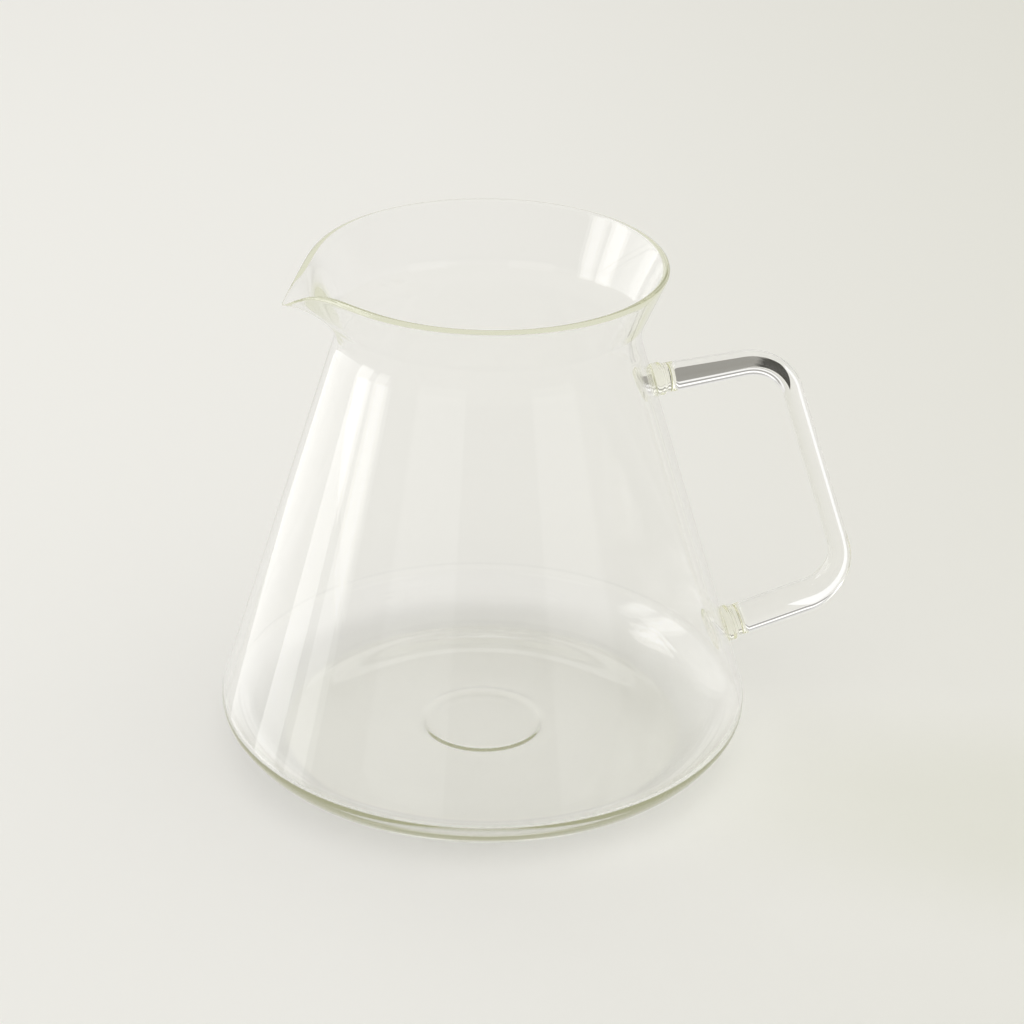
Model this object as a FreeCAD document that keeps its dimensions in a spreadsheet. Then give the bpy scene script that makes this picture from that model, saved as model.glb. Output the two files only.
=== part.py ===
"""Glass coffee server: a conical body with a flared collar and a pouring lip, and a bent
glass rod welded on as the handle.

Millimetres, +Z up.  The origin is on the vessel's axis in the plane it stands on.  The
handle is on +X and the lip on -X.
"""
import FreeCAD, Part
import math
import os
import Sketcher
from FreeCAD import Placement, Rotation, Vector

SIZES = [
    # vessel: outline of the outside
    ("body_radius", 60.0),          # widest, just above the foot
    ("height", 116.0),              # rim
    ("rim_radius", 39.6),
    ("foot_radius", 45.0),          # outer edge of the flat ring that it stands on
    ("foot_inner_radius", 41.0),
    ("foot_bend", 16.4),            # large arc from the foot up to the corner
    ("corner_bend", 4.8),           # small arc into the wall
    ("wall_lean", 17.0),            # degrees from vertical, inwards
    ("neck_bend", 11.4),
    ("collar_flare", 23.3),         # degrees from vertical, outwards
    # vessel: glass
    ("wall", 1.8),
    ("base", 2.6),
    ("punt", 0.8),                  # hollow under the base, clear of the table
    ("dish_radius", 13.6),          # round mark in the middle of the base
    ("dish_depth", 0.4),
    # pouring lip, on -X
    ("lip_reach", 44.9),            # tip, from the axis
    ("lip_drop", 5.4),              # tip, below the rim
    ("lip_half_angle", 28.0),       # of the cone that the lip is part of
    ("lip_lean", 27.0),             # of that cone's axis from vertical
    ("lip_length", 16.8),           # along the lip, from the cone's point to the tip
    ("lip_start", 37.6),            # where the rim begins to dip, from the axis
    # handle: centre line of the rod, in the plane Y = 0
    ("upper_weld_height", 84.2),
    ("upper_arm_rise", 5.4),        # degrees above horizontal, going outwards
    ("lower_weld_height", 19.4),
    ("lower_arm_rise", 14.7),
    ("grip_reach", 68.8),           # where the lines of the upper arm and the grip meet
    ("grip_lean", 18.9),            # degrees from vertical
    ("upper_bend", 12.1),
    ("lower_bend", 10.3),
    # handle: thickness of the rod
    ("upper_weld_rod", 3.37),
    ("upper_arm_rod", 2.97),
    ("grip_top_rod", 2.35),
    ("grip_foot_rod", 2.45),
    ("lower_arm_rod", 3.85),
    ("lower_weld_rod", 3.77),
    # welds: a pad on the wall, and a bead between the pad and the rod
    ("weld_length", 5.0),           # from the wall to the rod's end
    ("pad_height", 1.7),
    ("pad_edge", 0.7),
    ("upper_pad_radius", 4.2),
    ("lower_pad_radius", 5.2),
    ("upper_bead_radius", 3.6),
    ("lower_bead_radius", 4.1),
    ("overrun", 4.0),               # how far a cutting shape passes the solid it cuts
]

doc = FreeCAD.newDocument("coffee_server")


def make_sheet():
    sheet = doc.addObject("Spreadsheet::Sheet", "Sizes")
    for row, (alias, value) in enumerate(SIZES, start=1):
        sheet.set("A%d" % row, alias)
        sheet.set("B%d" % row, str(value))
        sheet.setAlias("B%d" % row, alias)
    doc.recompute()


make_sheet()
SIZE = dict(SIZES)


def bind(thing, name, expression):
    thing.setExpression(name, expression)


def tan(degrees):
    return math.tan(math.radians(degrees))


def along(degrees):
    """Unit vector in a sketch, at this angle from its X axis."""
    return Vector(math.cos(math.radians(degrees)), math.sin(math.radians(degrees)), 0)


# Height of the corner arc's centre, and radius of the outer wall at a height, from the
# sheet's cells: the two arcs meet where they share a tangent.
CORNER_HEIGHT = (
    "(Sizes.foot_bend - sqrt((Sizes.foot_bend - Sizes.corner_bend)^2"
    " - (Sizes.body_radius - Sizes.corner_bend - Sizes.foot_radius)^2))"
)
WALL_RADIUS = (
    "(Sizes.body_radius - Sizes.corner_bend"
    " + Sizes.corner_bend * cos(Sizes.wall_lean * 1 deg)"
    " + (" + CORNER_HEIGHT + " + Sizes.corner_bend * sin(Sizes.wall_lean * 1 deg)"
    " - Sizes.%s) * tan(Sizes.wall_lean * 1 deg))"
)


def corner_centre():
    """Centre of the outer corner arc."""
    x = SIZE["body_radius"] - SIZE["corner_bend"]
    reach = SIZE["foot_bend"] - SIZE["corner_bend"]
    z = SIZE["foot_bend"] - math.sqrt(reach**2 - (x - SIZE["foot_radius"]) ** 2)
    return Vector(x, z, 0)


def wall_point(height):
    """Point of the outer wall's straight outline at this height."""
    lean = SIZE["wall_lean"]
    touch = corner_centre() + along(lean) * SIZE["corner_bend"]
    return Vector(touch.x + (touch.y - height) * tan(lean), height, 0)


def crossing(start, start_angle, end, end_angle):
    """Where two sketch lines, each a point and an angle, cross."""
    a, b = along(start_angle), along(end_angle)
    gap = end - start
    step = (gap.x * b.y - gap.y * b.x) / (a.x * b.y - a.y * b.x)
    return start + a * step


class Outline:
    """A sketch whose sizes are bound to the sheet."""

    def __init__(self, owner, name, plane=None):
        if plane is None:
            self.sketch = owner.addObject("Sketcher::SketchObject", name)
            self.sketch.Placement = Placement(Vector(), Rotation(Vector(1, 0, 0), 90))
        else:
            self.sketch = owner.newObject("Sketcher::SketchObject", name)
            self.sketch.AttachmentSupport = [(plane, "")]
            self.sketch.MapMode = "FlatFace"

    def line(self, start, end):
        return self.sketch.addGeometry(Part.LineSegment(start, end))

    def arc(self, centre, radius, first, last):
        circle = Part.Circle(centre, Vector(0, 0, 1), radius)
        return self.sketch.addGeometry(
            Part.ArcOfCircle(circle, math.radians(first), math.radians(last))
        )

    def point(self, place):
        return self.sketch.addGeometry(Part.Point(place), True)

    def rule(self, *terms):
        return self.sketch.addConstraint(Sketcher.Constraint(*terms))

    def size(self, expression, *terms):
        index = self.rule(*terms)
        self.sketch.setExpression("Constraints[%d]" % index, expression)

    def place_x(self, piece, end, value, expression):
        self.size(expression, "DistanceX", -1, 1, piece, end, value)

    def place_y(self, piece, end, value, expression):
        self.size(expression, "DistanceY", -1, 1, piece, end, value)

    def angle(self, piece, degrees, expression):
        self.size("(" + expression + ") * 1 deg", "Angle", piece, math.radians(degrees))

    def radius(self, piece, value, expression):
        self.size(expression, "Radius", piece, value)


START, END, CENTRE = 1, 2, 3        # the points of a line or arc in a constraint
X_AXIS, Y_AXIS = -1, -2


def wall_outline(draw, foot_centre, foot_arc, corner_arc, neck_arc, top):
    """Foot arc, corner arc, straight wall, neck arc and collar line, all tangent."""
    lean, flare = SIZE["wall_lean"], SIZE["collar_flare"]
    corner = corner_centre()
    toward = corner - foot_centre
    change = math.degrees(math.atan2(toward.y, toward.x))
    touch = corner + along(lean) * corner_arc
    turn = crossing(touch, 90 + lean, top, 90 - flare)
    cut_back = neck_arc * tan((lean + flare) / 2)
    neck_low = turn - along(90 + lean) * cut_back
    neck_top = turn + along(90 - flare) * cut_back
    neck_centre = neck_low + along(lean) * neck_arc
    foot = draw.arc(foot_centre, foot_arc, -90, change)
    bend = draw.arc(corner, corner_arc, change, lean)
    wall = draw.line(touch, neck_low)
    neck = draw.arc(neck_centre, neck_arc, 180 - flare, 180 + lean)
    collar = draw.line(neck_top, top)
    draw.rule("Tangent", foot, END, bend, START)
    draw.rule("Tangent", bend, END, wall, START)
    draw.rule("Tangent", wall, END, neck, END)
    draw.rule("Tangent", neck, START, collar, START)
    draw.angle(wall, 90 + lean, "90 + Sizes.wall_lean")
    draw.angle(collar, 90 - flare, "90 - Sizes.collar_flare")
    draw.place_x(bend, CENTRE, corner.x, "Sizes.body_radius - Sizes.corner_bend")
    return foot, bend, neck, collar


def close_at_axis(draw, first, last, top, start):
    """Top line and axis line, which close an outline that starts on the axis."""
    lid = draw.line(top, Vector(0, top.y, 0))
    axis = draw.line(Vector(0, top.y, 0), start)
    draw.rule("Coincident", last, END, lid, START)
    draw.rule("Coincident", lid, END, axis, START)
    draw.rule("Coincident", axis, END, first, START)
    draw.rule("Horizontal", lid)
    draw.rule("Vertical", axis)
    draw.rule("PointOnObject", first, START, Y_AXIS)


def plane_of(body, role):
    return next(item for item in body.Origin.OriginFeatures if item.Role == role)


def revolved(name, draw_outline):
    """A body turned about Z from one closed outline."""
    body = doc.addObject("PartDesign::Body", name)
    draw = Outline(body, name + "_outline", plane_of(body, "XZ_Plane"))
    draw_outline(draw)
    turned = body.newObject("PartDesign::Revolution", name + "_turned")
    turned.Profile = draw.sketch
    turned.ReferenceAxis = (draw.sketch, ["V_Axis"])
    turned.Angle = 360
    doc.recompute()
    return body


def outside_outline(draw):
    """Underside with its round mark and punt, foot ring, wall and collar, filled in."""
    dish_z = SIZE["punt"] + SIZE["dish_depth"]
    marks = [
        Vector(0, dish_z, 0),
        Vector(SIZE["dish_radius"], dish_z, 0),
        Vector(SIZE["dish_radius"], SIZE["punt"], 0),
        Vector(SIZE["foot_inner_radius"], 0, 0),
        Vector(SIZE["foot_radius"], 0, 0),
    ]
    dish, step, hollow, ring = [draw.line(a, b) for a, b in zip(marks, marks[1:])]
    foot_centre = Vector(SIZE["foot_radius"], SIZE["foot_bend"], 0)
    top = Vector(SIZE["rim_radius"], SIZE["height"], 0)
    foot, bend, neck, collar = wall_outline(
        draw, foot_centre, SIZE["foot_bend"], SIZE["corner_bend"], SIZE["neck_bend"], top
    )
    close_at_axis(draw, dish, collar, top, marks[0])
    draw.rule("Coincident", dish, END, step, START)
    draw.rule("Coincident", step, END, hollow, START)
    draw.rule("Coincident", hollow, END, ring, START)
    draw.rule("Tangent", ring, END, foot, START)
    draw.rule("Horizontal", dish)
    draw.rule("Vertical", step)
    draw.rule("Horizontal", ring)
    draw.rule("PointOnObject", ring, START, X_AXIS)
    draw.place_x(dish, END, marks[1].x, "Sizes.dish_radius")
    draw.place_y(dish, END, dish_z, "Sizes.punt + Sizes.dish_depth")
    draw.place_y(step, END, SIZE["punt"], "Sizes.punt")
    draw.place_x(ring, START, marks[3].x, "Sizes.foot_inner_radius")
    draw.place_x(ring, END, marks[4].x, "Sizes.foot_radius")
    draw.radius(foot, SIZE["foot_bend"], "Sizes.foot_bend")
    draw.radius(bend, SIZE["corner_bend"], "Sizes.corner_bend")
    draw.radius(neck, SIZE["neck_bend"], "Sizes.neck_bend")
    draw.place_x(collar, END, top.x, "Sizes.rim_radius")
    draw.place_y(collar, END, top.y, "Sizes.height")


def inside_outline(draw):
    """The hollow, which runs out past the rim."""
    flare = SIZE["collar_flare"]
    foot_arc = SIZE["foot_bend"] - SIZE["base"]
    corner_arc = SIZE["corner_bend"] - SIZE["wall"]
    neck_arc = SIZE["neck_bend"] + SIZE["wall"]
    corner = corner_centre()
    drop = SIZE["foot_bend"] - corner.y
    foot_x = corner.x - math.sqrt((foot_arc - corner_arc) ** 2 - drop**2)
    top = Vector(
        SIZE["rim_radius"]
        - SIZE["wall"] / math.cos(math.radians(flare))
        + SIZE["overrun"] * tan(flare),
        SIZE["height"] + SIZE["overrun"],
        0,
    )
    start = Vector(0, SIZE["base"], 0)
    floor = draw.line(start, Vector(foot_x, SIZE["base"], 0))
    foot, bend, neck, collar = wall_outline(
        draw, Vector(foot_x, SIZE["foot_bend"], 0), foot_arc, corner_arc, neck_arc, top
    )
    close_at_axis(draw, floor, collar, top, start)
    draw.rule("Tangent", floor, END, foot, START)
    draw.rule("Horizontal", floor)
    draw.place_y(floor, START, SIZE["base"], "Sizes.base")
    draw.place_y(bend, CENTRE, corner.y, CORNER_HEIGHT)
    draw.radius(foot, foot_arc, "Sizes.foot_bend - Sizes.base")
    draw.radius(bend, corner_arc, "Sizes.corner_bend - Sizes.wall")
    draw.radius(neck, neck_arc, "Sizes.neck_bend + Sizes.wall")
    draw.place_x(
        collar,
        END,
        top.x,
        "Sizes.rim_radius - Sizes.wall / cos(Sizes.collar_flare * 1 deg)"
        " + Sizes.overrun * tan(Sizes.collar_flare * 1 deg)",
    )
    draw.place_y(collar, END, top.y, "Sizes.height + Sizes.overrun")


def tilt_about_y(thing, degrees):
    """Tip a primitive from +Z towards +X by an expression's degrees."""
    thing.Placement = Placement(Vector(), Rotation(Vector(0, 1, 0), 1))
    bind(thing, "Placement.Rotation.Angle", "(" + degrees + ") * 1 deg")


def lip_cone(name, set_in):
    """Cone that the lip is part of.  set_in moves its point along its axis."""
    cone = doc.addObject("Part::Cone", name)
    cone.Radius1 = 0
    outer_edge = "((Sizes.lip_lean + Sizes.lip_half_angle) * 1 deg)"
    lean = "(Sizes.lip_lean * 1 deg)"
    bind(cone, "Height", "2 * Sizes.lip_length")
    bind(cone, "Radius2", "2 * Sizes.lip_length * tan(Sizes.lip_half_angle * 1 deg)")
    tilt_about_y(cone, "-Sizes.lip_lean")
    bind(
        cone,
        "Placement.Base.x",
        "-Sizes.lip_reach + Sizes.lip_length * sin(%s) - (%s) * sin(%s)"
        % (outer_edge, set_in, lean),
    )
    bind(
        cone,
        "Placement.Base.z",
        "Sizes.height - Sizes.lip_drop - Sizes.lip_length * cos(%s) + (%s) * cos(%s)"
        % (outer_edge, set_in, lean),
    )
    return cone


def trimmer(name):
    """Block that every trim above the rim or the lip is cut with."""
    block = doc.addObject("Part::Box", name)
    bind(block, "Length", "2 * Sizes.body_radius")
    bind(block, "Width", "2 * Sizes.body_radius")
    bind(block, "Height", "Sizes.body_radius")
    bind(block, "Placement.Base.y", "-Sizes.body_radius")
    return block


def rim_trimmer():
    """Everything above the rim's plane."""
    block = trimmer("above_rim")
    bind(block, "Placement.Base.x", "-Sizes.body_radius")
    bind(block, "Placement.Base.z", "Sizes.height")
    return block


def lip_trimmer():
    """Everything outside a plane from the rim down to the lip's tip."""
    block = trimmer("above_lip")
    slope = "atan(Sizes.lip_drop / (Sizes.lip_reach - Sizes.lip_start))"
    tilt_about_y(block, "-1 * " + slope + " / 1 deg")
    bind(block, "Placement.Base.y", "-Sizes.body_radius")
    bind(block, "Placement.Base.x", "-Sizes.lip_start - 2 * Sizes.body_radius * cos(%s)" % slope)
    bind(block, "Placement.Base.z", "Sizes.height - 2 * Sizes.body_radius * sin(%s)" % slope)
    return block


def joined(name, pieces):
    fuse = doc.addObject("Part::MultiFuse", name)
    fuse.Shapes = pieces
    return fuse


def cut(name, base, tool):
    result = doc.addObject("Part::Cut", name)
    result.Base = base
    result.Tool = tool
    return result


def make_vessel(outside):
    inside = revolved("vessel_hollow", inside_outline)
    glass = "Sizes.wall / sin(Sizes.lip_half_angle * 1 deg)"
    filled = joined("filled", [outside, lip_cone("lip_outside", "0")])
    removed = joined(
        "removed", [inside, lip_cone("lip_inside", glass), rim_trimmer(), lip_trimmer()]
    )
    return cut("vessel", filled, removed)


def rod_path():
    """Centre line of the rod: two arms and the grip, joined by two bends."""
    weld = SIZE["weld_length"]
    arms = {}
    for side in ("upper", "lower"):
        rise = SIZE[side + "_arm_rise"]
        root = wall_point(SIZE[side + "_weld_height"])
        arms[side] = (root + along(rise) * weld, rise)
    upper, upper_rise = arms["upper"]
    lower, lower_rise = arms["lower"]
    top = Vector(
        SIZE["grip_reach"], upper.y + (SIZE["grip_reach"] - upper.x) * tan(upper_rise), 0
    )
    down = SIZE["grip_lean"] - 90
    foot = crossing(top, down, lower, lower_rise)

    def bend(corner, inward, outward, radius):
        """Centre and the two touching points of an arc that rounds a corner."""
        half = inward.getAngle(outward) / 2
        back = radius / math.tan(half)
        middle = (inward + outward).normalize() * (radius / math.sin(half))
        return corner + middle, corner + inward * back, corner + outward * back

    up_centre, up_start, up_end = bend(
        top, along(upper_rise + 180), along(down), SIZE["upper_bend"]
    )
    low_centre, low_start, low_end = bend(
        foot, along(down + 180), along(lower_rise + 180), SIZE["lower_bend"]
    )
    draw = Outline(doc, "rod_path")
    arm_a = draw.line(upper, up_start)
    bend_a = draw.arc(up_centre, SIZE["upper_bend"], down + 90, upper_rise + 90)
    grip = draw.line(up_end, low_start)
    bend_b = draw.arc(low_centre, SIZE["lower_bend"], lower_rise - 90, down + 90)
    arm_b = draw.line(low_end, lower)
    knee = draw.point(top)
    draw.rule("Tangent", arm_a, END, bend_a, END)
    draw.rule("Tangent", bend_a, START, grip, START)
    draw.rule("Tangent", grip, END, bend_b, END)
    draw.rule("Tangent", bend_b, START, arm_b, START)
    draw.rule("PointOnObject", knee, START, arm_a)
    draw.rule("PointOnObject", knee, START, grip)
    draw.place_x(knee, START, top.x, "Sizes.grip_reach")
    draw.angle(grip, down, "Sizes.grip_lean - 90")
    draw.radius(bend_a, SIZE["upper_bend"], "Sizes.upper_bend")
    draw.radius(bend_b, SIZE["lower_bend"], "Sizes.lower_bend")
    for side, arm, end, at in (("upper", arm_a, START, upper), ("lower", arm_b, END, lower)):
        rise = "(Sizes.%s_arm_rise * 1 deg)" % side
        radius = WALL_RADIUS % (side + "_weld_height")
        draw.place_x(arm, end, at.x, radius + " + Sizes.weld_length * cos(%s)" % rise)
        height = "Sizes.%s_weld_height" % side
        draw.place_y(arm, end, at.y, height + " + Sizes.weld_length * sin(%s)" % rise)
    draw.angle(arm_a, upper_rise, "Sizes.upper_arm_rise")
    draw.angle(arm_b, lower_rise - 180, "Sizes.lower_arm_rise - 180")
    doc.recompute()
    return draw.sketch


# The rod's radius at the start and the end of each edge of its path.  The two bends are
# arcs that run against the path, so they start at their grip end and their lower arm end.
ROD_TAPER = {
    "Edge1": ("upper_weld_rod", "upper_arm_rod"),
    "Edge2": ("grip_top_rod", "upper_arm_rod"),
    "Edge3": ("grip_top_rod", "grip_foot_rod"),
    "Edge4": ("lower_arm_rod", "grip_foot_rod"),
    "Edge5": ("lower_arm_rod", "lower_weld_rod"),
}


def rod_ring(path, edge, where, alias):
    """The rod's section at the start (0) or the end (1) of an edge of its path."""
    ring = doc.addObject("Part::Circle", "%s_ring_%d" % (edge, where))
    ring.AttachmentSupport = [(path, edge)]
    ring.MapMode = "NormalToEdge"
    ring.MapPathParameter = where
    bind(ring, "Radius", "Sizes." + alias)
    return ring


def make_rod():
    """The rod, thinner along the grip, where the hot glass stretched as it was bent."""
    path = rod_path()
    spans = []
    for edge, ends in ROD_TAPER.items():
        span = doc.addObject("Part::Sweep", edge + "_span")
        span.Sections = [rod_ring(path, edge, where, alias) for where, alias in enumerate(ends)]
        span.Spine = (path, [edge])
        span.Solid = True
        span.Frenet = False
        spans.append(span)
    return joined("handle_rod", spans)


def round_bar(name, side, rise, length, radius, start="0"):
    """Cylinder that leaves the wall at a weld, rising by an expression's degrees."""
    bar = doc.addObject("Part::Cylinder", name)
    bind(bar, "Radius", radius)
    bind(bar, "Height", "(%s) - (%s)" % (length, start))
    tilt_about_y(bar, "90 - (%s)" % rise)
    angle = "((%s) * 1 deg)" % rise
    wall_radius = WALL_RADIUS % (side + "_weld_height")
    height = "Sizes.%s_weld_height" % side
    bind(bar, "Placement.Base.x", wall_radius + " + (%s) * cos(%s)" % (start, angle))
    bind(bar, "Placement.Base.z", height + " + (%s) * sin(%s)" % (start, angle))
    return bar


def outer_edge(shape, direction):
    """Number of the round edge furthest along a direction."""
    far = max(range(len(shape.Edges)), key=lambda n: shape.Edges[n].CenterOfMass.dot(direction))
    return far + 1


def rounded(name, bar, degrees):
    """The bar with its outer edge rounded."""
    doc.recompute()
    soft = doc.addObject("Part::Fillet", name)
    soft.Base = bar
    direction = Vector(math.cos(math.radians(degrees)), 0, math.sin(math.radians(degrees)))
    soft.Edges = [(outer_edge(bar.Shape, direction), SIZE["pad_edge"], SIZE["pad_edge"])]
    return soft


def make_weld(side, outside):
    """A pad that fits the wall, square to it, and a bead from the pad to the rod's end."""
    lean = "Sizes.wall_lean"
    radius = "Sizes.%s_pad_radius" % side
    sunk = "-Sizes.overrun / 2"
    pad_bar = round_bar(side + "_pad_bar", side, lean, "Sizes.pad_height", radius, sunk)
    pad_soft = rounded(side + "_pad_soft", pad_bar, SIZE["wall_lean"])
    pad = cut(side + "_pad", pad_soft, outside)
    rise = "Sizes.%s_arm_rise" % side
    bead_bar = round_bar(
        side + "_bead_bar", side, rise, "Sizes.weld_length", "Sizes.%s_bead_radius" % side
    )
    taken = joined(side + "_taken", [outside, pad_soft])
    bead = cut(side + "_bead", bead_bar, taken)
    return [pad, bead]


def main():
    outside = revolved("vessel_outside", outside_outline)
    pieces = [make_vessel(outside), make_rod()]
    for side in ("upper", "lower"):
        pieces += make_weld(side, outside)
    doc.recompute()
    for thing in doc.Objects:
        if {"Invalid", "Error"} & set(thing.State):
            raise RuntimeError("%s is %s" % (thing.Name, thing.State))
    os.makedirs("parts", exist_ok=True)
    for piece in pieces:
        shape = piece.Shape
        if shape.isNull() or not shape.isValid() or len(shape.Solids) != 1:
            raise RuntimeError(piece.Label + " is not one valid solid")
        print("%-11s %8.1f mm3" % (piece.Label, shape.Volume))
    for piece in pieces:
        piece.Shape.exportStep("parts/%s.step" % piece.Label)


main()
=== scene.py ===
import math

import bmesh
import bpy
import numpy as np
from mathutils import Matrix, Vector


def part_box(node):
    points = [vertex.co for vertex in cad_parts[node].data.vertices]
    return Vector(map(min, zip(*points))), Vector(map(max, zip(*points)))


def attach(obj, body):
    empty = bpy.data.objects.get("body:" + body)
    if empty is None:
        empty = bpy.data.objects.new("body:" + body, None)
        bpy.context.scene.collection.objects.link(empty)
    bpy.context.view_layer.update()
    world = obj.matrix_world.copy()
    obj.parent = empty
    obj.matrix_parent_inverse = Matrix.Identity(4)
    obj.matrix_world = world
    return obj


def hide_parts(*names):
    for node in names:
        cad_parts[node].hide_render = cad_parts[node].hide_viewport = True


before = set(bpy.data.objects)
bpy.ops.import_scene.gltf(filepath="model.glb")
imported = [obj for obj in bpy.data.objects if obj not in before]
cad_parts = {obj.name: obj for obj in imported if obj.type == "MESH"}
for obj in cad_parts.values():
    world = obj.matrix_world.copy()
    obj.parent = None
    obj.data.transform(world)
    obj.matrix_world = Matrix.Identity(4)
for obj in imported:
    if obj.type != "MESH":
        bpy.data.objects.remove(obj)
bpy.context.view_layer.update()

MM = 0.001

# ---------------------------------------------------------------- sizes (mm)
VESSEL_LOW, VESSEL_HIGH = (Vector(corner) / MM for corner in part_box("vessel"))
BODY_RADIUS = (VESSEL_HIGH.y - VESSEL_LOW.y) / 2
HEIGHT = VESSEL_HIGH.z
WALL = 1.8
BASE = 2.6
WALL_LEAN = math.radians(17.0)
FLARE = math.radians(23.3)
CORNER_BEND = 4.8
FOOT_BEND = 16.4
FOOT_RADIUS = 45.0
FOOT_INNER_RADIUS = 38.0
FOOT_EDGE = 12.0
PUNT = 0.8
NECK_BEND = 11.4
RIM_RADIUS = 39.4
RIM_ROUND = 0.78
DISH_RADIUS = 13.6
DISH_DEPTH = 0.32
DISH_EDGE = 1.6
MARK_DROP = 0.5
MARK_EDGE = 1.5
MARK_REACH = 4.0
FLOOR_STEPS = 46
MARK_STEPS = 40
# radius, width and rise of each faint ring in the floor
RINGS = ((10.7, 0.8, 0.03), (17.5, 1.2, 0.03), (21.5, 2.0, -0.02), (35.0, 2.5, 0.03))

LIP_REACH = 6.8
LIP_DROP = 6.0
LIP_SPREAD = math.radians(45.8)
LIP_POINT = 4.3
LIP_DIP = 5.0
LIP_TAPER = 1.13
LIP_ROUND = 0.05
LIP_REACH_RISE = 1.6
LIP_DROP_RISE = 2.2

UPPER_WELD_HEIGHT = 84.2
UPPER_ARM_RISE = math.radians(5.4)
LOWER_WELD_HEIGHT = 19.4
LOWER_ARM_RISE = math.radians(14.7)
GRIP_REACH = 68.8
GRIP_LEAN = math.radians(18.9)
UPPER_BEND = 12.1
LOWER_BEND = 10.3
WELD_LENGTH = 5.0
WELD_GAP = 0.08
UPPER_WELD_RADII = (4.3, 3.05, 3.6)
LOWER_WELD_RADII = (5.2, 3.45, 4.1)
PAD_SPREAD = 0.8
BEAD_PLACE = 1.95
BEAD_WIDTH = 0.95
WAIST_LENGTH = 4.55
WELD_STEPS = 70
WELD_SINK = 0.6
WALL_FIT = 1.6
UPPER_WELD_ROD = 3.37
UPPER_ARM_ROD = 2.97
GRIP_TOP_ROD = 2.35
GRIP_FOOT_ROD = 2.45
LOWER_ARM_ROD = 3.85
LOWER_WELD_ROD = 3.77

AROUND = 400
ROD_AROUND = 64
FOOT_STEPS = 22
CORNER_STEPS = 16
CORNER_STEPS_INSIDE = 14
WALL_STEPS = 34
NECK_STEPS = 18
COLLAR_STEPS = 14
RIM_STEPS = 14
ARM_STEPS = 26
BEND_STEPS = 28
GRIP_STEPS = 40

# ------------------------------------------------------------ camera, light and stage (mm or as noted)
CAMERA_DISTANCE = 11.4605 * BODY_RADIUS
CAMERA_AZIMUTH = math.radians(-105.0)
CAMERA_ELEVATION = math.radians(30.684)
CAMERA_YAW = math.radians(0.576)
CAMERA_PITCH = math.radians(26.528)
CAMERA_ROLL = math.radians(1.077)
CAMERA_LENS = 103.5
BOUNCES = 24
CLEAR_BOUNCES = 16
BRIGHTEST_INDIRECT = 6.0
PAINTED_GLOW_DEPTH = 10.0
# heights (m) between which the painted glow that stands in for trapped light turns from its dark tone to
# its pale one
PAINTED_GLOW_FOOT = (0.005, 0.02)
PAINTED_GLOW_DARK = (0.36, 0.36, 0.22)
PAINTED_GLOW_PALE = (0.72, 0.72, 0.57)
# tint of the depth, its density, waviness of the surface (mm) and its scale
VESSEL_GLASS = ((0.88, 0.9, 0.55), 1.3, 0.002, 40.0)
ROD_GLASS = ((0.9, 0.9, 0.45), 2.4, 0.0015, 120.0)
WELD_GLASS = ((0.86, 0.86, 0.35), 24.0, 0.0, 160.0)
GLASS_IOR = 1.473
SHADOW_CLEAR = (0.998, 0.998, 0.99)
# height in the sky, from -1 straight down to 1 straight up, and the colour there
BACK_SKY = (
    (-0.26, (0.72, 0.71, 0.68)),
    (-0.22, (0.30, 0.295, 0.27)),
    (-0.13, (0.30, 0.295, 0.27)),
    (-0.10, (0.95, 0.94, 0.92)),
    (-0.02, (0.95, 0.94, 0.92)),
    (0.01, (0.32, 0.31, 0.29)),
    (0.09, (0.32, 0.31, 0.29)),
    (0.12, (1.15, 1.14, 1.12)),
    (0.25, (1.15, 1.14, 1.12)),
    (0.29, (0.42, 0.41, 0.39)),
    (0.50, (0.42, 0.41, 0.39)),
    (0.60, (0.95, 0.94, 0.92)),
)
BACK_SKY_TURN = math.radians(70)
BACK_SKY_START = math.cos(math.radians(36))
BACK_SKY_END = math.cos(math.radians(24))
FRONT_SKY = (
    (-0.3, (0.80, 0.79, 0.76)),
    (0.05, (0.80, 0.79, 0.76)),
    (0.2, (0.62, 0.61, 0.59)),
    (0.4, (0.70, 0.69, 0.67)),
    (0.75, (0.86, 0.85, 0.83)),
)
# painted dark band: a glowing grey-to-black card that only the rays bent through the upper arm see
FLAG_COLOUR = (0.30, 0.29, 0.26)
FLAG_DEEP = (0.03, 0.028, 0.02)
# distances (m) from the axis between which the flag turns from grey to black
FLAG_TURN = (0.056, 0.066)
FLAG_RAMP = (0.45, 0.6)
TABLE = (0.905, 0.902, 0.868)
# painted shade: the table darkens to this tone away from the windows, across TABLE_FADE
TABLE_PAINTED_FALLOFF = (0.93, 0.932, 0.90)
TABLE_ROUGHNESS = 0.9
TABLE_GLOSS = 0.1
TABLE_FADE = (-0.03, 0.22)
# centre, turn, size (m), edge, tone of each patch: a painted shadow beyond the handle, and painted light
# under the foot
TABLE_PAINTED_LIGHT_AND_SHADE = (
    ((0.125, -0.038), math.radians(-12), (0.12, 0.055), (0.0, 0.8), (0.94, 0.945, 0.91)),
    ((0.0, 0.0), 0.0, (0.0465, 0.0465), (0.0, 0.04), (1.03, 1.03, 1.01)),
)
# name, first and last azimuth in degrees, brightness, low and high edge (m), distance (m), lights the table
WINDOWS = (
    ("veil", 108, 182, 0.8, -0.4, 0.9, 1.15, False),
    ("window_back", 112, 138, 0.12, -0.4, 0.9, 1.0, True),
    ("side_left", 205, 240, 0.3, -0.4, 0.3, 1.0, False),
    ("side_right", 287, 320, 0.3, -0.4, 0.3, 1.0, False),
    ("window_middle", 149, 163, 1.7, -0.4, 0.9, 1.0, True),
    ("window_front", 169, 179, 1.25, -0.4, 0.9, 1.0, True),
    ("key", 125, 150, 3.4, 0.75, 1.25, 0.9, True),
)
BACKDROP = (0.79, 0.785, 0.735)
WORLD_STRENGTH = 1.02
CARD_GAP = 8.0
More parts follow.
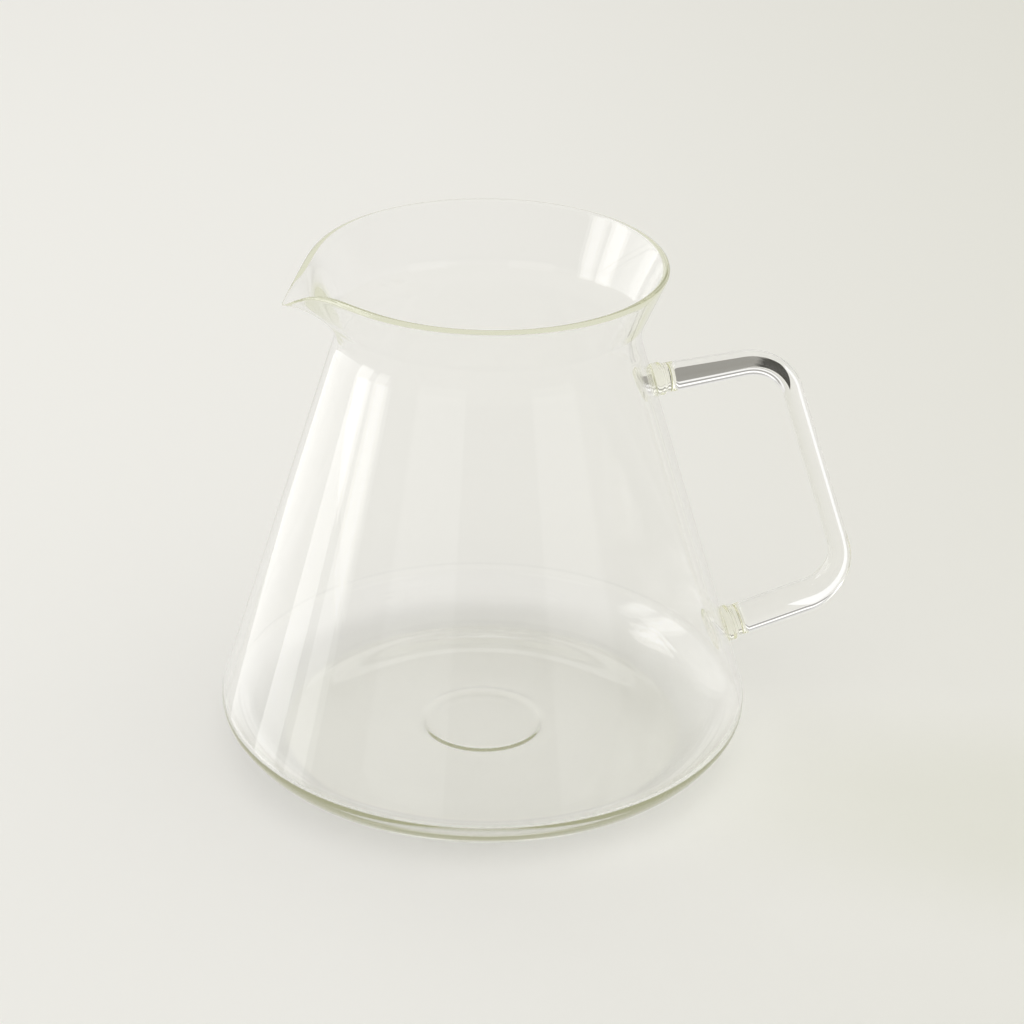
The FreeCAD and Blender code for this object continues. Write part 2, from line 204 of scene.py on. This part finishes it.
# stations of the rod: those over which a card narrows, and each card's first and last
CARD_TAPER = 9
FLAG_SPAN = (0, 50)
FLAG_SIDES = (-2.3, 0.9)
PALE_SPAN = (42, 128)
PALE_SIDES = (0.5, 2.1)
# painted highlight: the pale card's glow shows only as a bright line in the grip
PALE_COLOUR = (1.02, 1.02, 1.0)
FLAG_GRAIN = (25, 25, 500)
TABLE_BACK = 610.0
TABLE_HALF = 6000.0
TABLE_GAP = 0.05
TABLE_TURN = math.radians(-15.0)


def polar(radius, angle):
    return np.array([radius * math.cos(angle), radius * math.sin(angle)])


def arc(centre, radius, start, end, steps):
    """Points on an arc, as (radius from the axis, height)."""
    return [centre + polar(radius, a) for a in np.linspace(start, end, steps)]


def line(start, end, steps):
    """Points from start up to, and without, end."""
    return [start + (end - start) * t for t in np.linspace(0, 1, steps, endpoint=False)]


# ---------------------------------------------------------------- vessel
class Section:
    """Centres and corners that the vessel's outside and inside outlines share."""

    def __init__(self):
        self.corner = np.array([BODY_RADIUS - CORNER_BEND, 0.0])
        reach = FOOT_BEND - CORNER_BEND
        across = self.corner[0] - FOOT_RADIUS
        drop = math.sqrt(reach**2 - across**2)
        self.foot = np.array([FOOT_RADIUS, FOOT_BEND])
        self.corner[1] = FOOT_BEND - drop
        self.foot_turn = math.atan2(-drop, across)
        wall_normal = polar(1.0, WALL_LEAN)
        wall_up = np.array([-math.sin(WALL_LEAN), math.cos(WALL_LEAN)])
        flare_up = np.array([math.sin(FLARE), math.cos(FLARE)])
        wall_start = self.corner + CORNER_BEND * wall_normal
        rim = np.array([RIM_RADIUS, HEIGHT])
        along = np.linalg.solve(np.array([wall_up, flare_up]).T, rim - wall_start)
        knee = wall_start + wall_up * along[0]
        reach = NECK_BEND * math.tan((WALL_LEAN + FLARE) / 2)
        self.neck = knee - wall_up * reach + wall_normal * NECK_BEND
        self.neck_height = self.neck[1]
        flare_normal = polar(1.0, -FLARE)
        self.rim = rim - flare_normal * RIM_ROUND
        self.rim -= flare_up * (self.rim[1] + RIM_ROUND - HEIGHT) / flare_up[1]


def soft_step(distance, width):
    """Falls from 1 to 0 across a width."""
    return 1 / (1 + math.exp(max(-40.0, min(40.0, distance / width * 4))))


def floor_radii(last):
    """Radii across the floor, closer together round the moulded mark."""
    even = np.linspace(0.0, last, FLOOR_STEPS)
    near = np.linspace(DISH_RADIUS - MARK_REACH, DISH_RADIUS + MARK_REACH, MARK_STEPS)
    return sorted(set(np.round(np.concatenate([even, near]), 3)))


def underside(radius):
    """The foot stands on a ring; inside it the glass is raised, and less so in the middle."""
    punt = PUNT * soft_step(radius - FOOT_INNER_RADIUS, FOOT_EDGE)
    return punt - MARK_DROP * soft_step(radius - DISH_RADIUS, MARK_EDGE)


def outside(section):
    """The outside outline, from the middle of the foot to the rim's outer side."""
    points = [np.array([radius, underside(radius)]) for radius in floor_radii(FOOT_RADIUS)[:-1]]
    points += arc(section.foot, FOOT_BEND, -math.pi / 2, section.foot_turn, FOOT_STEPS)[:-1]
    points += arc(section.corner, CORNER_BEND, section.foot_turn, WALL_LEAN, CORNER_STEPS)
    wall_foot = points.pop()
    wall_head = section.neck - polar(NECK_BEND, WALL_LEAN)
    points += line(wall_foot, wall_head, WALL_STEPS)
    points += arc(section.neck, NECK_BEND, math.pi + WALL_LEAN, math.pi - FLARE, NECK_STEPS)
    collar_foot = points.pop()
    points += line(collar_foot, section.rim + polar(RIM_ROUND, -FLARE), COLLAR_STEPS)
    return points


def floor_relief(radius):
    """The moulded mark in the middle of the floor: a shallow dish, and faint rings round it."""
    height = -DISH_DEPTH * soft_step(radius - DISH_RADIUS, DISH_EDGE)
    for place, width, rise in RINGS:
        height += rise * math.exp(-(((radius - place) / width) ** 2))
    return height


def inside(section):
    """The inside outline, from the rim's inner side down to the middle of the floor."""
    flare_normal = polar(1.0, -FLARE)
    collar_head = section.rim - flare_normal * RIM_ROUND
    collar_foot = section.neck + polar(NECK_BEND + WALL, math.pi - FLARE)
    points = line(collar_head, collar_foot, COLLAR_STEPS)
    points += arc(section.neck, NECK_BEND + WALL, math.pi - FLARE, math.pi + WALL_LEAN, NECK_STEPS)
    wall_head = points.pop()
    bend = CORNER_BEND - WALL
    wall_foot = section.corner + polar(bend, WALL_LEAN)
    points += line(wall_head, wall_foot, WALL_STEPS)
    foot_bend = FOOT_BEND - BASE
    reach = foot_bend - bend
    drop = FOOT_BEND - section.corner[1]
    across = math.sqrt(reach**2 - drop**2)
    foot = np.array([section.corner[0] - across, FOOT_BEND])
    turn = math.atan2(-drop, across)
    points += arc(section.corner, bend, WALL_LEAN, turn, CORNER_STEPS_INSIDE)[:-1]
    points += arc(foot, foot_bend, turn, -math.pi / 2, FOOT_STEPS)
    floor_edge = points.pop()
    for radius in reversed(floor_radii(floor_edge[0])):
        points.append(np.array([radius, BASE + floor_relief(radius)]))
    return points


def rim_round(section):
    """The fire-polished rim, from its outer side over the top to its inner side."""
    return arc(section.rim, RIM_ROUND, -FLARE, math.pi - FLARE, RIM_STEPS)[:-1]


def lip_pull(points, section):
    """Draws the wall out and down on the side away from the handle, into the pouring lip."""
    flat = points.reshape(-1, 3)
    radius = np.hypot(flat[:, 0], flat[:, 1])
    turn = np.arctan2(flat[:, 1], -flat[:, 0])
    rise = (flat[:, 2] - section.neck_height) / (HEIGHT - section.neck_height)
    rise = np.clip(rise, 0.0, 1.0)
    spread = (np.abs(turn) / LIP_SPREAD) ** (1 / LIP_TAPER)
    near = np.clip(1.0 + LIP_ROUND - np.hypot(spread, LIP_ROUND), 0.0, 1.0)
    pull = LIP_REACH * near**LIP_POINT * rise**LIP_REACH_RISE
    drop = LIP_DROP * near**LIP_DIP * rise**LIP_DROP_RISE
    scale = 1.0 + pull / np.maximum(radius, 1e-6)
    flat[:, 0] *= scale
    flat[:, 1] *= scale
    flat[:, 2] -= drop
    return points


def ring_faces(rings, around):
    """The four-sided faces between rings of points, listed ring after ring."""
    faces = []
    for ring in range(rings - 1):
        low, high = ring * around, (ring + 1) * around
        for k in range(around):
            n = (k + 1) % around
            faces.append((low + k, low + n, high + n, high + k))
    return faces


def tube_faces(rings, around):
    """The same, with a flat face at each end."""
    last = (rings - 1) * around
    ends = [tuple(range(around))[::-1], tuple(last + k for k in range(around))]
    return ring_faces(rings, around) + ends


def lathe(name, outline, around, shape=None):
    """A closed mesh of revolution about the vertical axis; the outline's ends lie on the axis."""
    outline = np.array(outline)
    turns = np.linspace(0, 2 * math.pi, around, endpoint=False)
    ring = np.stack([np.cos(turns), np.sin(turns)], -1)
    body = outline[1:-1]
    points = np.empty((len(body), around, 3))
    points[..., :2] = body[:, None, :1] * ring[None]
    points[..., 2] = body[:, None, 1]
    if shape:
        points = shape(points)
    verts = points.reshape(-1, 3).tolist()
    first = len(verts)
    verts.append([0.0, 0.0, outline[0, 1]])
    verts.append([0.0, 0.0, outline[-1, 1]])
    faces = ring_faces(len(body), around)
    last = (len(body) - 1) * around
    for k in range(around):
        n = (k + 1) % around
        faces.append((first, n, k))
        faces.append((first + 1, last + k, last + n))
    return mesh_object(name, verts, faces)


def mesh_object(name, verts, faces):
    """Makes a smooth-shaded object from points in mm."""
    mesh = bpy.data.meshes.new(name)
    mesh.from_pydata([[c * MM for c in v] for v in verts], [], faces)
    shape = bmesh.new()
    shape.from_mesh(mesh)
    bmesh.ops.recalc_face_normals(shape, faces=shape.faces)
    shape.to_mesh(mesh)
    shape.free()
    mesh.shade_smooth()
    obj = bpy.data.objects.new(name, mesh)
    bpy.context.scene.collection.objects.link(obj)
    return obj


def make_vessel(section):
    outline = outside(section) + rim_round(section) + inside(section)
    return lathe("glass_vessel", outline, AROUND, lambda p: lip_pull(p, section))


# ---------------------------------------------------------------- handle
def heading(angle):
    return np.array([math.cos(angle), math.sin(angle)])


def wall_radius(section, height):
    """The outside wall's radius at a height on its straight part."""
    start = section.corner + CORNER_BEND * polar(1.0, WALL_LEAN)
    return start[0] - (height - start[1]) * math.tan(WALL_LEAN)


class Rod:
    """The handle's centre line in the plane through the vessel's axis, as (x, z)."""

    def __init__(self, section):
        self.upper_start = np.array([wall_radius(section, UPPER_WELD_HEIGHT), UPPER_WELD_HEIGHT])
        self.lower_end = np.array([wall_radius(section, LOWER_WELD_HEIGHT), LOWER_WELD_HEIGHT])
        self.out = heading(UPPER_ARM_RISE)
        self.down = heading(GRIP_LEAN - math.pi / 2)
        self.back = heading(LOWER_ARM_RISE + math.pi)
        self.top = self.upper_start + self.out * (GRIP_REACH - self.upper_start[0]) / self.out[0]
        sides = np.array([self.down, self.back]).T
        run = np.linalg.solve(sides, self.lower_end - self.top)
        self.foot = self.top + self.down * run[0]
        self.line = self.trace()

    def bend(self, knee, before, after, radius, steps):
        turn = math.acos(float(np.clip(before @ after, -1, 1)))
        reach = radius * math.tan(turn / 2)
        start = knee - before * reach
        inward = np.array([before[1], -before[0]])
        centre = start + inward * radius
        first = math.atan2(*(start - centre)[::-1])
        return [centre + polar(radius, first - turn * t) for t in np.linspace(0, 1, steps)]

    def trace(self):
        start = self.upper_start + self.out * WELD_LENGTH
        end = self.lower_end - self.back * WELD_LENGTH
        top = self.bend(self.top, self.out, self.down, UPPER_BEND, BEND_STEPS)
        foot = self.bend(self.foot, self.down, self.back, LOWER_BEND, BEND_STEPS)
        spans = [
            (line(start, top[0], ARM_STEPS), UPPER_WELD_ROD, UPPER_ARM_ROD),
            (top[:-1], UPPER_ARM_ROD, GRIP_TOP_ROD),
            (line(top[-1], foot[0], GRIP_STEPS), GRIP_TOP_ROD, GRIP_FOOT_ROD),
            (foot[:-1], GRIP_FOOT_ROD, LOWER_ARM_ROD),
            (line(foot[-1], end, ARM_STEPS) + [end], LOWER_ARM_ROD, LOWER_WELD_ROD),
        ]
        stations = []
        for points, thick, thin in spans:
            radii = np.linspace(thick, thin, len(points), endpoint=False)
            stations += list(zip(points, radii))
        return stations


def tube(name, stations, around):
    """A closed round tube along points in the plane y = 0, with a radius at each."""
    centres = np.array([s[0] for s in stations])
    radii = np.array([s[1] for s in stations])
    ahead = np.gradient(centres, axis=0)
    ahead /= np.linalg.norm(ahead, axis=1)[:, None]
    side = np.stack([-ahead[:, 1], ahead[:, 0]], -1)
    turns = np.linspace(0, 2 * math.pi, around, endpoint=False)
    verts = []
    for centre, radius, across in zip(centres, radii, side):
        for turn in turns:
            flat = centre + across * radius * math.cos(turn)
            verts.append([flat[0], radius * math.sin(turn), flat[1]])
    return mesh_object(name, verts, tube_faces(len(stations), around))


def weld(name, section, start, ahead, radii, rod):
    """The flame weld: a pad that follows the wall, and a bead that narrows to the rod."""
    across = np.array([-ahead[1], ahead[0]])
    pad, neck, bulge = radii
    steps = []
    for s in np.linspace(0, WELD_LENGTH - WELD_GAP, WELD_STEPS):
        spread = (pad - neck) * math.exp(-((s / PAD_SPREAD) ** 2))
        bead = (bulge - neck) * math.exp(-(((s - BEAD_PLACE) / BEAD_WIDTH) ** 4))
        base = neck + (rod - neck) * min(1.0, s / WAIST_LENGTH)
        steps.append((s, base + spread + bead))
    turns = np.linspace(0, 2 * math.pi, ROD_AROUND, endpoint=False)
    verts = []
    for s, radius in steps:
        for turn in turns:
            side = radius * math.sin(turn)
            flat = start + across * radius * math.cos(turn)
            wall = wall_radius(section, flat[1])
            face = math.sqrt(max(wall**2 - side**2, 0.0)) - WELD_SINK
            back = (face - flat[0]) * math.exp(-s / WALL_FIT)
            flat = flat + ahead * (s + back)
            verts.append([flat[0], side, flat[1]])
    return mesh_object(name, verts, tube_faces(len(steps), ROD_AROUND))


# ---------------------------------------------------------------- materials
def glass(name, kind):
    """Clear glass: smooth, with a slow waviness in its surface and a faint tint in its depth.

    Light caught in a rim or a foot for many turns is replaced by a painted glow, an
    emission of dark olive in the foot and pale olive above it, and light on its way to
    the table passes almost unchanged.
    """
    tint, density, waviness, scale = kind
    mat = bpy.data.materials.new(name)
    mat.use_nodes = True
    nodes = mat.node_tree.nodes
    links = mat.node_tree.links
    nodes.clear()
    out = nodes.new("ShaderNodeOutputMaterial")
    shader = nodes.new("ShaderNodeBsdfPrincipled")
    shader.inputs["Base Color"].default_value = (1, 1, 1, 1)
    shader.inputs["Roughness"].default_value = 0.0
    shader.inputs["IOR"].default_value = GLASS_IOR
    shader.inputs["Transmission Weight"].default_value = 1.0
    volume = nodes.new("ShaderNodeVolumeAbsorption")
    volume.inputs["Color"].default_value = (*tint, 1)
    volume.inputs["Density"].default_value = density
    place = nodes.new("ShaderNodeTexCoord")
    noise = nodes.new("ShaderNodeTexNoise")
    noise.inputs["Scale"].default_value = scale
    noise.inputs["Detail"].default_value = 2.0
    bump = nodes.new("ShaderNodeBump")
    bump.inputs["Strength"].default_value = 1.0
    bump.inputs["Distance"].default_value = waviness * MM
    links.new(place.outputs["Object"], noise.inputs["Vector"])
    links.new(noise.outputs["Fac"], bump.inputs["Height"])
    links.new(bump.outputs["Normal"], shader.inputs["Normal"])
    path = nodes.new("ShaderNodeLightPath")
    clear = nodes.new("ShaderNodeBsdfTransparent")
    clear.inputs["Color"].default_value = (*SHADOW_CLEAR, 1)
    mix = nodes.new("ShaderNodeMixShader")
    # painted glow: past the depth limit the glass stops being lit glass and emits a fixed colour, dark
    # olive low in the foot and pale olive above
    deep = nodes.new("ShaderNodeMath")
    deep.operation = "GREATER_THAN"
    deep.inputs[1].default_value = PAINTED_GLOW_DEPTH
    painted_glow = nodes.new("ShaderNodeEmission")
    split = nodes.new("ShaderNodeSeparateXYZ")
    rise = nodes.new("ShaderNodeMapRange")
    rise.inputs["From Min"].default_value = PAINTED_GLOW_FOOT[0]
    rise.inputs["From Max"].default_value = PAINTED_GLOW_FOOT[1]
    shade = nodes.new("ShaderNodeMix")
    shade.data_type = "RGBA"
    shade.inputs[6].default_value = (*PAINTED_GLOW_DARK, 1)
    shade.inputs[7].default_value = (*PAINTED_GLOW_PALE, 1)
    links.new(place.outputs["Object"], split.inputs["Vector"])
    links.new(split.outputs["Z"], rise.inputs["Value"])
    links.new(rise.outputs["Result"], shade.inputs[0])
    links.new(shade.outputs[2], painted_glow.inputs["Color"])
    body = nodes.new("ShaderNodeMixShader")
    links.new(path.outputs["Ray Depth"], deep.inputs[0])
    links.new(deep.outputs["Value"], body.inputs["Fac"])
    links.new(shader.outputs["BSDF"], body.inputs[1])
    links.new(painted_glow.outputs["Emission"], body.inputs[2])
    mat.cycles.emission_sampling = "NONE"
    links.new(path.outputs["Is Shadow Ray"], mix.inputs["Fac"])
    links.new(body.outputs["Shader"], mix.inputs[1])
    links.new(clear.outputs["BSDF"], mix.inputs[2])
    links.new(mix.outputs["Shader"], out.inputs["Surface"])
    links.new(volume.outputs["Volume"], out.inputs["Volume"])
    return mat


def spot(nodes, links, place, centre, turn, size, first, last):
    """1 inside an oval patch of the table and 0 outside it, with a soft edge."""
    move = nodes.new("ShaderNodeMapping")
    move.vector_type = "TEXTURE"
    move.inputs["Location"].default_value = (*centre, 0)
    move.inputs["Rotation"].default_value = (0, 0, turn)
    move.inputs["Scale"].default_value = (*size, 1)
    round_off = nodes.new("ShaderNodeTexGradient")
    round_off.gradient_type = "SPHERICAL"
    edge = nodes.new("ShaderNodeMapRange")
    edge.interpolation_type = "SMOOTHSTEP"
    edge.inputs["From Min"].default_value = first
    edge.inputs["From Max"].default_value = last
    links.new(place.outputs["Object"], move.inputs["Vector"])
    links.new(move.outputs["Vector"], round_off.inputs["Vector"])
    links.new(round_off.outputs["Fac"], edge.inputs["Value"])
    return edge.outputs["Result"]


def floor_material():
    """Pale table top, with painted shade away from the windows and beyond the handle, and painted light
    under the foot.
    """
    mat = bpy.data.materials.new("pale_floor")
    mat.use_nodes = True
    nodes = mat.node_tree.nodes
    links = mat.node_tree.links
    shader = nodes["Principled BSDF"]
    shader.inputs["Roughness"].default_value = TABLE_ROUGHNESS
    shader.inputs["Specular IOR Level"].default_value = TABLE_GLOSS
    place = nodes.new("ShaderNodeTexCoord")
    split = nodes.new("ShaderNodeSeparateXYZ")
    across = nodes.new("ShaderNodeMapRange")
    across.inputs["From Min"].default_value = TABLE_FADE[0]
    across.inputs["From Max"].default_value = TABLE_FADE[1]
    links.new(place.outputs["Object"], split.inputs["Vector"])
    links.new(split.outputs["X"], across.inputs["Value"])
    # painted shade and light: the colour is multiplied darker away from the windows and in the shadow
    # patch, and lighter under the foot
    colour = TABLE
    parts = [(across.outputs["Result"], TABLE_PAINTED_FALLOFF)]
    for centre, turn, size, edge, tone in TABLE_PAINTED_LIGHT_AND_SHADE:
        parts.append((spot(nodes, links, place, centre, turn, size, *edge), tone))
    socket = None
    for factor, tone in parts:
        mix = nodes.new("ShaderNodeMix")
        mix.data_type = "RGBA"
        mix.blend_type = "MULTIPLY"
        mix.inputs[6].default_value = (*colour, 1)
        mix.inputs[7].default_value = (*tone, 1)
        links.new(factor, mix.inputs[0])
        if socket:
            links.new(socket, mix.inputs[6])
        socket = mix.outputs[2]
    links.new(socket, shader.inputs["Base Color"])
    return mat


# ---------------------------------------------------------------- stage
def make_floor():
    side, front, back = TABLE_HALF, -TABLE_HALF, TABLE_BACK
    verts = [[-side, front, 0], [side, front, 0], [side, back, 0], [-side, back, 0]]
    floor = mesh_object("floor", verts, [(0, 1, 2, 3)])
    floor.rotation_euler.z = TABLE_TURN
    floor.visible_glossy = False
    floor.location.z = -TABLE_GAP * MM
    floor.data.materials.append(floor_material())


def window(name, first, last, brightness, low, high, distance, lights):
    """An upright soft light between two azimuths in degrees, facing the object."""
    middle = math.radians((first + last) / 2)
    width = 2 * distance * math.tan(math.radians(abs(last - first)) / 2)
    data = bpy.data.lights.new(name, "AREA")
    data.shape = "RECTANGLE"
    data.size = width
    data.size_y = high - low
    data.energy = brightness * math.pi * width * (high - low)
    light = bpy.data.objects.new(name, data)
    place = Vector((distance * math.cos(middle), distance * math.sin(middle), (low + high) / 2))
    light.location = place
    aim = Vector((-place.x, -place.y, 0))
    light.rotation_euler = aim.to_track_quat("-Z", "Y").to_euler()
    light.visible_diffuse = lights
    bpy.context.scene.collection.objects.link(light)
    return light


def sky_ramp(nodes, links, rise, levels):
    """Colours by height in the sky, from -1 straight down to 1 straight up."""
    ramp = nodes.new("ShaderNodeValToRGB")
    stops = ramp.color_ramp.elements
    for level, colour in levels:
        stops.new((level + 1) / 2).color = (*colour, 1)
    stops.remove(stops[-1])
    stops.remove(stops[0])
    links.new(rise, ramp.inputs["Fac"])
    return ramp.outputs["Color"]


def blend(nodes, links, factor, first, second):
    mix = nodes.new("ShaderNodeMix")
    mix.data_type = "RGBA"
    links.new(factor, mix.inputs[0])
    links.new(first, mix.inputs[6])
    if hasattr(second, "links"):
        links.new(second, mix.inputs[7])
    else:
        mix.inputs[7].default_value = (*second, 1)
    return mix.outputs[2]


def make_world():
    """A bright room with grey bands in the sky behind the object, and an even camera backdrop."""
    world = bpy.data.worlds.new("studio")
    bpy.context.scene.world = world
    world.use_nodes = True
    nodes = world.node_tree.nodes
    links = world.node_tree.links
    place = nodes.new("ShaderNodeTexCoord")
    split = nodes.new("ShaderNodeSeparateXYZ")
    links.new(place.outputs["Generated"], split.inputs["Vector"])
    rise = nodes.new("ShaderNodeMapRange")
    rise.inputs["From Min"].default_value = -1.0
    links.new(split.outputs["Z"], rise.inputs["Value"])
    toward = nodes.new("ShaderNodeVectorMath")
    toward.operation = "DOT_PRODUCT"
    toward.inputs[1].default_value = (math.cos(BACK_SKY_TURN), math.sin(BACK_SKY_TURN), 0)
    links.new(place.outputs["Generated"], toward.inputs[0])
    behind = nodes.new("ShaderNodeMapRange")
    behind.interpolation_type = "SMOOTHSTEP"
    behind.inputs["From Min"].default_value = BACK_SKY_START
    behind.inputs["From Max"].default_value = BACK_SKY_END
    links.new(toward.outputs["Value"], behind.inputs["Value"])
    front = sky_ramp(nodes, links, rise.outputs["Result"], FRONT_SKY)
    back = sky_ramp(nodes, links, rise.outputs["Result"], BACK_SKY)
    room = blend(nodes, links, behind.outputs["Result"], front, back)
    path = nodes.new("ShaderNodeLightPath")
    seen = blend(nodes, links, path.outputs["Is Camera Ray"], room, BACKDROP)
    links.new(seen, nodes["Background"].inputs["Color"])
    nodes["Background"].inputs["Strength"].default_value = WORLD_STRENGTH


def card(name, rod, span, low, high, material):
    """A glowing strip behind part of the handle, that only the light bent through the glass meets; it puts
    a painted dark band or a painted highlight into the handle.
    """
    back = Vector((math.sin(-TABLE_TURN), math.cos(-TABLE_TURN), 0.0)) * CARD_GAP
    sink = CARD_GAP * math.tan(CAMERA_ELEVATION)
    centres = np.array([station[0] for station in rod.line[slice(*span)]])
    ahead = np.gradient(centres, axis=0)
    ahead /= np.linalg.norm(ahead, axis=1)[:, None]
    inward = np.stack([ahead[:, 1], -ahead[:, 0]], -1)
    verts = []
    last = len(centres) - 1
    for k, (centre, side) in enumerate(zip(centres, inward)):
        full = min(1.0, (last - k) / CARD_TAPER)
        for reach in (low, low + (high - low) * full):
            flat = centre + side * reach
            verts.append([flat[0] + back.x, back.y, flat[1] - sink])
    faces = [(2 * k, 2 * k + 2, 2 * k + 3, 2 * k + 1) for k in range(len(centres) - 1)]
    strip = mesh_object(name, verts, faces)
    strip.data.materials.append(material)
    strip.visible_camera = False
    strip.visible_diffuse = False
    strip.visible_glossy = False
    strip.visible_shadow = False


def glow_material(name):
    mat = bpy.data.materials.new(name)
    mat.use_nodes = True
    tree = mat.node_tree
    glow = tree.nodes.new("ShaderNodeEmission")
    tree.links.new(glow.outputs["Emission"], tree.nodes["Material Output"].inputs["Surface"])
    return mat, tree.nodes, tree.links, glow


def dark_material():
    """Painted dark band for the upper arm: grey along the arm, with dark streaks that close up into black
    towards the bend.
    """
    mat, nodes, links, glow = glow_material("dark_flag")
    place = nodes.new("ShaderNodeTexCoord")
    stretch = nodes.new("ShaderNodeMapping")
    stretch.inputs["Scale"].default_value = FLAG_GRAIN
    noise = nodes.new("ShaderNodeTexNoise")
    noise.inputs["Scale"].default_value = 1.0
    split = nodes.new("ShaderNodeSeparateXYZ")
    along = nodes.new("ShaderNodeMapRange")
    along.inputs["From Min"].default_value = FLAG_TURN[1]
    along.inputs["From Max"].default_value = FLAG_TURN[0]
    along.clamp = False
    mixed = nodes.new("ShaderNodeMath")
    mixed.operation = "ADD"
    ramp = nodes.new("ShaderNodeValToRGB")
    ramp.color_ramp.elements[0].position = FLAG_RAMP[0]
    ramp.color_ramp.elements[0].color = (*FLAG_DEEP, 1)
    ramp.color_ramp.elements[1].position = FLAG_RAMP[1]
    ramp.color_ramp.elements[1].color = (*FLAG_COLOUR, 1)
    links.new(place.outputs["Object"], split.inputs["Vector"])
    links.new(split.outputs["X"], along.inputs["Value"])
    links.new(along.outputs["Result"], mixed.inputs[0])
    links.new(place.outputs["Object"], stretch.inputs["Vector"])
    links.new(stretch.outputs["Vector"], noise.inputs["Vector"])
    links.new(noise.outputs["Fac"], mixed.inputs[1])
    links.new(mixed.outputs["Value"], ramp.inputs["Fac"])
    links.new(ramp.outputs["Color"], glow.inputs["Color"])
    return mat


def pale_material():
    # painted highlight: a pale glowing card that shows as a bright line in the grip
    mat, _, _, glow = glow_material("pale_card")
    glow.inputs["Color"].default_value = (*PALE_COLOUR, 1)
    return mat


def aimed(azimuth, elevation):
    """The direction at an azimuth and an elevation."""
    flat = math.cos(elevation)
    return Vector((flat * math.cos(azimuth), flat * math.sin(azimuth), math.sin(elevation)))


def make_camera():
    """A camera at the photograph's angle, turned a little from the straight view at the axis."""
    place = aimed(CAMERA_AZIMUTH, CAMERA_ELEVATION) * CAMERA_DISTANCE * MM
    ahead = aimed(CAMERA_AZIMUTH + math.pi - CAMERA_YAW, -CAMERA_PITCH)
    right = ahead.cross(Vector((0, 0, 1))).normalized()
    up = right.cross(ahead)
    right, up = (
        right * math.cos(CAMERA_ROLL) + up * math.sin(CAMERA_ROLL),
        up * math.cos(CAMERA_ROLL) - right * math.sin(CAMERA_ROLL),
    )
    turn = Matrix((right, up, -ahead)).transposed().to_4x4()
    data = bpy.data.cameras.new("camera")
    data.sensor_width = 36.0
    data.lens = CAMERA_LENS
    data.clip_start = 0.01
    camera = bpy.data.objects.new("camera", data)
    camera.matrix_world = Matrix.Translation(place) @ turn
    bpy.context.scene.collection.objects.link(camera)
    bpy.context.scene.camera = camera


def render_settings():
    scene = bpy.context.scene
    scene.view_settings.view_transform = "Standard"
    scene.view_settings.look = "None"
    cycles = scene.cycles
    cycles.max_bounces = BOUNCES
    cycles.transmission_bounces = BOUNCES
    cycles.glossy_bounces = BOUNCES
    cycles.transparent_max_bounces = CLEAR_BOUNCES
    cycles.sample_clamp_indirect = BRIGHTEST_INDIRECT


def add_piece(piece, material, slot, *nodes):
    piece.data.materials.append(material)
    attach(piece, "root")
    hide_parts(*nodes)


section = Section()
rod = Rod(section)
vessel_glass = glass("vessel_glass", VESSEL_GLASS)
rod_glass = glass("rod_glass", ROD_GLASS)
weld_glass = glass("weld_glass", WELD_GLASS)

add_piece(make_vessel(section), vessel_glass, "vessel_glass", "vessel")
add_piece(tube("handle", rod.line, ROD_AROUND), rod_glass, "rod_glass", "handle_rod")
upper = weld("upper_weld", section, rod.upper_start, rod.out, UPPER_WELD_RADII, UPPER_WELD_ROD)
add_piece(upper, weld_glass, "weld_glass", "upper_pad", "upper_bead")
lower = weld("lower_weld", section, rod.lower_end, -rod.back, LOWER_WELD_RADII, LOWER_WELD_ROD)
add_piece(lower, weld_glass, "weld_glass", "lower_pad", "lower_bead")

make_floor()
make_world()
make_camera()
for place in WINDOWS:
    window(*place)
# painted dark band in the upper arm, and painted highlight in the grip
card("dark_flag", rod, FLAG_SPAN, *FLAG_SIDES, dark_material())
card("pale_card", rod, PALE_SPAN, *PALE_SIDES, pale_material())
render_settings()
